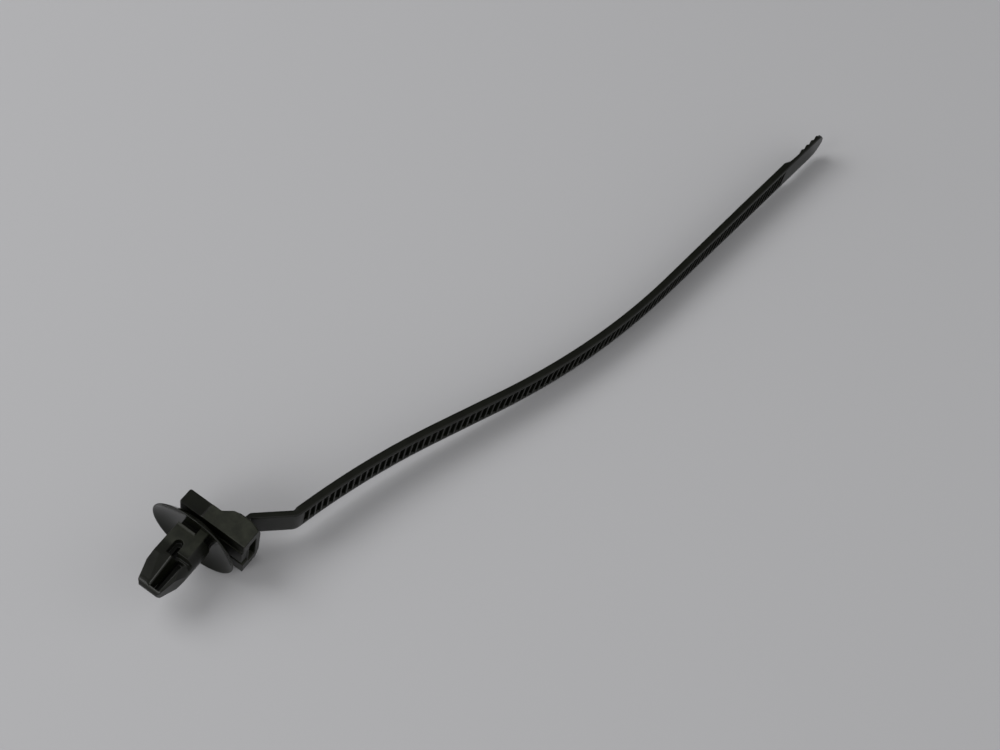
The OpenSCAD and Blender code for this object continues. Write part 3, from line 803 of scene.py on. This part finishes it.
class HARNESS_OT_head(bpy.types.Operator):
    """Builds the strap head with its buckle, passage, pawl and neck stub"""

    bl_idname = "harness_clip.head"
    bl_label = "Strap head"

    def execute(self, context):
        settings = context.scene.harness_clip
        h = in_mm(settings.head)
        s = in_mm(settings.strap)
        half = h.height / 2
        tall = half + h.buckle_step
        buckle = [
            (h.right, h.near),
            (h.right, h.buckle_far),
            (s.neck_x - h.stub_w, h.buckle_far),
            (h.buckle_x + h.buckle_ramp, h.buckle_far - h.buckle_crown),
            (h.buckle_x, h.bar_far),
        ]
        bar = prism([(-h.left, h.near), *buckle, (-h.left, h.bar_far)], -half, half)
        bar = rounded(
            bar,
            h.corner_r,
            lambda edge: all(abs(v.co.x + h.left) < WELD for v in edge.verts)
            and abs(edge.verts[0].co.z - edge.verts[1].co.z) > half,
        )
        head = combined(bar, prism([(0, h.near), *buckle, (0, h.bar_far)], -tall, tall), "UNION")
        run = h.right - s.neck_x
        past = h.bevel_in + h.buckle_far - h.bar_far
        bevel = [(-CLEAR, 0), (-CLEAR, past), (h.bevel_drop, past), (h.bevel_drop, h.bevel_in)]
        lean = (
            Matrix.Translation((s.neck_x, h.buckle_far, tall))
            @ Matrix.Rotation(-math.atan(h.bevel_in / run), 4, "Z")
            @ Matrix.Rotation(math.pi / 2, 4, "Y")
        )
        for side in (1, -1):
            turned = Matrix.Diagonal((1, 1, side, 1)) @ lean
            head = combined(head, prism(bevel, -OVER, 2 * run, turned), "DIFFERENCE")
        slope = Matrix.Translation((-h.left, h.passage_y, 0)) @ Matrix.Rotation(h.passage_slope, 4, "Z")
        tube = quad(-CLEAR, -h.passage_t / 2, h.left + h.right + CLEAR, h.passage_t / 2)
        head = combined(head, prism(tube, -h.passage_w / 2, h.passage_w / 2, slope), "DIFFERENCE")
        pawl_half = h.pawl_w / 2
        slot_half = pawl_half + h.pawl_gap
        pawl_end = h.right - h.pawl_gap / 2
        slot = [
            (h.pawl_root, -slot_half),
            (h.right + CLEAR, -slot_half),
            (h.right + CLEAR, slot_half),
            (h.pawl_root, slot_half),
            (h.pawl_root, pawl_half),
            (pawl_end, pawl_half),
            (pawl_end, -pawl_half),
            (h.pawl_root, -pawl_half),
        ]
        head = combined(head, prism(slot, -h.passage_y, CLEAR - h.near, ANCHOR_TURN), "DIFFERENCE")
        run_x = s.neck_t * math.cos(s.neck_angle)
        run_y = s.neck_t * math.sin(s.neck_angle)
        stub = [
            (s.neck_x, h.buckle_far - OVER),
            (s.neck_x, s.neck_y),
            (s.neck_x + run_x - run_y / 2, s.neck_y + run_y + run_x / 2),
            (s.neck_x - run_y, s.neck_y + run_x),
            (s.neck_x - h.stub_w, h.buckle_far - OVER),
        ]
        # The stub is a little narrower than the neck, so that their sides do not lie in one plane
        stub_half = s.strap_w / 2 - h.stub_inset
        head = combined(head, prism(stub, -stub_half, stub_half), "UNION")
        head = softened(head, h.grain, passes=4)

        def erosion(place, normal):
            """The buckle's sides came from coarser steel than the closed end and the neck's stub."""
            side = ease(abs(normal.z), 0.4, 0.8)
            below_stub = ease(h.buckle_far - place.y, 0, h.corner_r)
            return side * below_stub * ease(place.x, 0, h.eroded_fade)

        add_piece("strap_head", head, satin_nylon(settings.finish), erosion)
        return {"FINISHED"}


class HARNESS_OT_disc(bpy.types.Operator):
    """Builds the thin dished sealing disc"""

    bl_idname = "harness_clip.disc"
    bl_label = "Sealing disc"

    def execute(self, context):
        settings = context.scene.harness_clip
        a = in_mm(settings.anchor)
        rim_r = a.disc_d / 2 - a.rim_t / 2
        steps = 24
        front, back = [], []
        for i in range(steps + 1):
            k = i / steps
            r = a.hub_r + (rim_r - a.hub_r) * k
            z = (a.dish_depth + a.rim_set) * k**a.dish_power - a.dish_depth
            front.append((r, z))
            back.append((r, z - a.hub_t - (a.rim_t - a.hub_t) * k))
        rim = arc(rim_r, a.rim_set - a.rim_t / 2, a.rim_t / 2, math.pi / 2, -math.pi / 2, steps=6)[1:-1]
        profile = [(0, -a.dish_depth), *front, *rim, *reversed(back), (0, -a.dish_depth - a.hub_t)]
        bm = bmesh.new()
        segments = 128
        rings = []
        for i in range(segments):
            t = 2 * math.pi * i / segments
            rings.append([bm.verts.new((r * math.cos(t), r * math.sin(t), z)) for r, z in profile])
        for i in range(segments):
            near, far = rings[i], rings[(i + 1) % segments]
            for j in range(len(profile) - 1):
                bm.faces.new((near[j], near[j + 1], far[j + 1], far[j]))
        bmesh.ops.transform(bm, matrix=ANCHOR_TURN, verts=bm.verts)
        add_piece("sealing_disc", mesh_of(bm, "sealing_disc"), smooth_nylon(settings.finish))
        return {"FINISHED"}


class HARNESS_OT_anchor(bpy.types.Operator):
    """Builds the push-in panel anchor with its wings, window, nose and posts"""

    bl_idname = "harness_clip.anchor"
    bl_label = "Panel anchor"

    def execute(self, context):
        settings = context.scene.harness_clip
        a = in_mm(settings.anchor)
        r = a.barrel_d / 2
        flat = a.flats / 2
        # Section on one side of the half turn: the flat, the wing's corner, then the round
        wing_angle = math.pi - math.acos(a.wing_out / r)
        low_angle = math.pi + math.asin(flat / r)
        side = [(-a.wing_out, flat), *arc(0, 0, r, wing_angle, low_angle, steps=14)]
        section = side + [(-x, -y) for x, y in side]
        start = a.upper_len + a.nose_gap
        taper = start + a.nose_len
        wide = r + CLEAR
        wide_z = taper - (wide - r) * (a.anchor_len - a.tip_bevel - taper) / (r - a.tip_w / 2)
        front = [
            (wide, -CLEAR),
            (wide, wide_z),
            (a.tip_w / 2, a.anchor_len - a.tip_bevel),
            (a.tip_w / 2 - a.tip_bevel, a.anchor_len),
        ]
        front += [(-x, z) for x, z in reversed(front)]
        thick = flat + CLEAR
        thick_z = taper - (thick - flat) * (a.anchor_len - a.tip_r - taper) / (flat - a.tip_r)
        edge = [
            (thick, -CLEAR),
            (thick, thick_z),
            *arc(0, a.anchor_len - a.tip_r, a.tip_r, 0, math.pi, steps=12),
            (-thick, thick_z),
            (-thick, -CLEAR),
        ]
        stand = Matrix.Rotation(math.pi / 2, 4, "X")
        body = prism(section, 0, a.anchor_len + CLEAR)
        body = combined(body, prism(front, -2 * r, 2 * r, stand), "INTERSECT")
        across = Matrix.Rotation(math.pi / 2, 4, "Z") @ stand
        body = combined(body, prism(edge, -2 * r, 2 * r, across), "INTERSECT")
        window_half = a.window_w / 2
        round_z = a.window_top + window_half
        window = [
            (a.window_x, start),
            *arc(a.window_x - window_half, round_z, window_half, 0, -math.pi, steps=12),
            (a.window_x - a.window_w, start),
        ]
        free = quad(a.window_x - a.free_w, a.free_floor, a.window_x, 2 * r)
        gap = quad(a.window_x, a.web_half, 2 * r, 2 * r)
        # The pocket's upper edge is the zero point of these two outlines
        along = (
            Matrix.Translation((0, flat - a.pocket_drop, start))
            @ Matrix.Rotation(a.pocket_lean, 4, "X")
            @ Matrix.Translation((a.pocket_x, 0, 0))
        )
        facet = [(0, 0), (0, a.flats), (-2 * r, a.flats), (-2 * r, 2 * r * math.tan(a.facet_tilt))]
        foot = a.flats * math.cos(a.pocket_slope)
        wall = [(0, a.flats), (0, 0), (foot, -a.flats * math.sin(a.pocket_slope)), (foot, a.flats)]
        end = a.anchor_len - a.pocket_end
        cell = quad(0, 0, a.slot_end, a.flats)
        slot = [(a.slot_x, start - OVER), (a.slot_out, start - OVER), (a.slot_end, end), (a.slot_x, end)]
        for way in (Matrix.Identity(4), HALF_TURN):
            pocket = prism(wall, -OVER, 2 * a.anchor_len, along)
            pocket = combined(pocket, prism(cell, start - OVER, end), "INTERSECT")
            pocket.transform(way)
            cutters = (
                prism(facet, -OVER, 2 * a.anchor_len, way @ along),
                prism(window, -2 * r, -a.window_floor, way @ stand),
                prism(free, round_z, start, way),
                prism(gap, a.upper_len, start, way),
                pocket,
                prism(slot, -a.flats, a.slot_depth, way @ stand),
            )
            for cutter in cutters:
                body = combined(body, cutter, "DIFFERENCE")
        # The ridge is a round bar whose axis lies inside the body, beside the pocket's edge
        ridge = arc(-0.6 * a.ridge_r, -0.3 * a.ridge_r, a.ridge_r, 0, 2 * math.pi, steps=16)[:-1]
        # The lip stands on the edge where each flat meets the shoulder and slants down to the flat
        lip = [
            (0, flat - a.lip_w),
            (0, flat + a.lip_rise),
            (a.lip_w / 8, flat + a.lip_rise),
            (a.lip_w, flat - a.lip_rise / 8),
            (a.lip_w, flat - a.lip_w),
        ]
        lip_run = Matrix.Rotation(-math.pi / 2, 4, "Y")
        for way in (Matrix.Identity(4), HALF_TURN):
            post = quad(a.post_in, 0, a.post_out, flat)
            web = quad(0, -a.web_half, a.wing_out, a.web_half)
            for outline in (post, web):
                body = combined(body, prism(outline, -a.dish_depth - OVER, OVER, way), "UNION")
            body = combined(body, prism(lip, -a.post_in, a.wing_out, way @ lip_run), "UNION")
            body = combined(body, prism(ridge, a.ridge_r, end - start, way @ along), "UNION")
        body = softened(body, a.grain, passes=3)
        body.transform(ANCHOR_TURN)

        def erosion(place, normal):
            """The barrel's flats came from coarser steel than the nose."""
            side = ease(abs(normal.z), 0.7, 0.95)
            on_flat = ease(abs(place.z), flat - 0.3, flat - 0.1)
            return side * on_flat * ease(a.upper_len + place.y, 0, a.eroded_fade)

        add_piece("panel_anchor", body, satin_nylon(settings.finish), erosion)
        return {"FINISHED"}


def stage_paper(settings):
    """Matt paper board: an even pale surface with no gloss."""
    material = bpy.data.materials.new("Matt paper board")
    tree = cleared(material)
    shader = add(
        tree,
        "ShaderNodeBsdfPrincipled",
        {"Base Color": tuple(settings.floor), "Roughness": 0.9, "Specular IOR Level": 0.1},
    )
    add(tree, "ShaderNodeOutputMaterial", {"Surface": shader.outputs["BSDF"]})
    return material


def aimed(obj, place, aim, roll=0.0):
    """The light or camera at a place, turned to the aim and then about its own axis."""
    obj.location = place
    obj.rotation_mode = "QUATERNION"
    look = Vector(aim) - Vector(place)
    obj.rotation_quaternion = look.to_track_quat("-Z", "Y") @ Quaternion((0, 0, 1), roll)
    return obj


def soft_light(name, place, aim, size, watts):
    """A square area light at a place, turned to the aim."""
    data = bpy.data.lights.new(name, "AREA")
    data.shape = "SQUARE"
    data.size = size
    data.energy = watts
    return aimed(shown(name, data), place, aim)


def studio_dome(settings):
    """Soft light from all round: brightest low down, dim overhead and dark behind the clip."""
    world = bpy.data.worlds.new("studio")
    tree = cleared(world)
    way = add(tree, "ShaderNodeTexCoord").outputs["Generated"]
    height = add(tree, "ShaderNodeSeparateXYZ", {"Vector": way}).outputs["Z"]
    look = Vector(settings.aim) - Vector(settings.camera)
    away = Vector((look.x, look.y, 0)).normalized()
    behind = add(tree, "ShaderNodeVectorMath", {0: way, 1: away}, operation="DOT_PRODUCT").outputs["Value"]
    # Each row is a value, where the change starts and ends, and the light at both
    rows = (
        (height, DIM_FROM, DIM_TO, settings.dome, settings.zenith),
        (behind, SHADE_FROM, SHADE_TO, 1.0, settings.far),
    )
    low, shade = (
        add(tree, "ShaderNodeMapRange", dict(enumerate(row)), interpolation_type="SMOOTHSTEP").outputs[0]
        for row in rows
    )
    level = add(tree, "ShaderNodeMath", {0: low, 1: shade}, operation="MULTIPLY")
    sky = add(tree, "ShaderNodeBackground", {"Color": (1.0, 1.0, 1.0, 1.0), "Strength": level.outputs[0]})
    add(tree, "ShaderNodeOutputWorld", {"Surface": sky.outputs["Background"]})
    return world


# Endings of the stage settings that hold a light's place, aim, size and power
LIGHT_PARTS = ("", "_aim", "_size", "_power")


class HARNESS_OT_stage(bpy.types.Operator):
    """Builds the floor, the lights, the world and the camera"""

    bl_idname = "harness_clip.stage"
    bl_label = "Stage"

    def execute(self, context):
        scene = context.scene
        settings = scene.harness_clip.stage
        bm = bmesh.new()
        bmesh.ops.create_grid(bm, x_segments=1, y_segments=1, size=FLOOR_HALF)
        floor = shown("floor", mesh_of(bm, "floor"))
        floor.data.transform(Matrix.Translation((0, 0, -FLOOR_DROP)))
        floor.data.materials.append(stage_paper(settings))
        for name, setting in (("softbox", "softbox"), ("edge light", "edge")):
            soft_light(name, *(getattr(settings, setting + part) for part in LIGHT_PARTS))
        scene.world = studio_dome(settings)
        data = bpy.data.cameras.new("camera")
        data.lens = settings.lens
        data.sensor_width = 36
        data.sensor_fit = "HORIZONTAL"
        data.clip_start = 0.001
        data.clip_end = 20
        scene.camera = aimed(shown("camera", data), settings.camera, settings.aim, settings.roll)
        scene.view_settings.view_transform = "Standard"
        return {"FINISHED"}


class HARNESS_PT_panel(bpy.types.Panel):
    """Lists the clip's pieces and their sizes"""

    bl_label = "Wire Harness Clip"
    bl_idname = "HARNESS_PT_panel"
    bl_space_type = "VIEW_3D"
    bl_region_type = "UI"
    bl_category = "Harness Clip"

    def draw(self, context):
        settings = context.scene.harness_clip
        for operator in OPERATORS:
            self.layout.operator(operator.bl_idname)
        for name in ClipSettings.__annotations__:
            box = self.layout.box()
            box.label(text=name.capitalize())
            group = getattr(settings, name)
            for size in group.__annotations__:
                box.prop(group, size)


GROUPS = (StrapSizes, HeadSizes, AnchorSizes, NylonFinish, StageSettings, ClipSettings)
OPERATORS = (HARNESS_OT_strap, HARNESS_OT_head, HARNESS_OT_disc, HARNESS_OT_anchor, HARNESS_OT_stage)


def register():
    """Adds the clip's classes and settings to Blender."""
    for cls in (*GROUPS, *OPERATORS, HARNESS_PT_panel):
        bpy.utils.register_class(cls)
    bpy.types.Scene.harness_clip = bpy.props.PointerProperty(type=ClipSettings)


def unregister():
    """Takes the clip's classes and settings out of Blender."""
    del bpy.types.Scene.harness_clip
    for cls in reversed((*GROUPS, *OPERATORS, HARNESS_PT_panel)):
        bpy.utils.unregister_class(cls)


def main():
    """Builds every piece and the stage."""
    register()
    bpy.ops.harness_clip.strap()
    bpy.ops.harness_clip.head()
    bpy.ops.harness_clip.disc()
    bpy.ops.harness_clip.anchor()
    bpy.ops.harness_clip.stage()


if __name__ == "__main__":
    main()
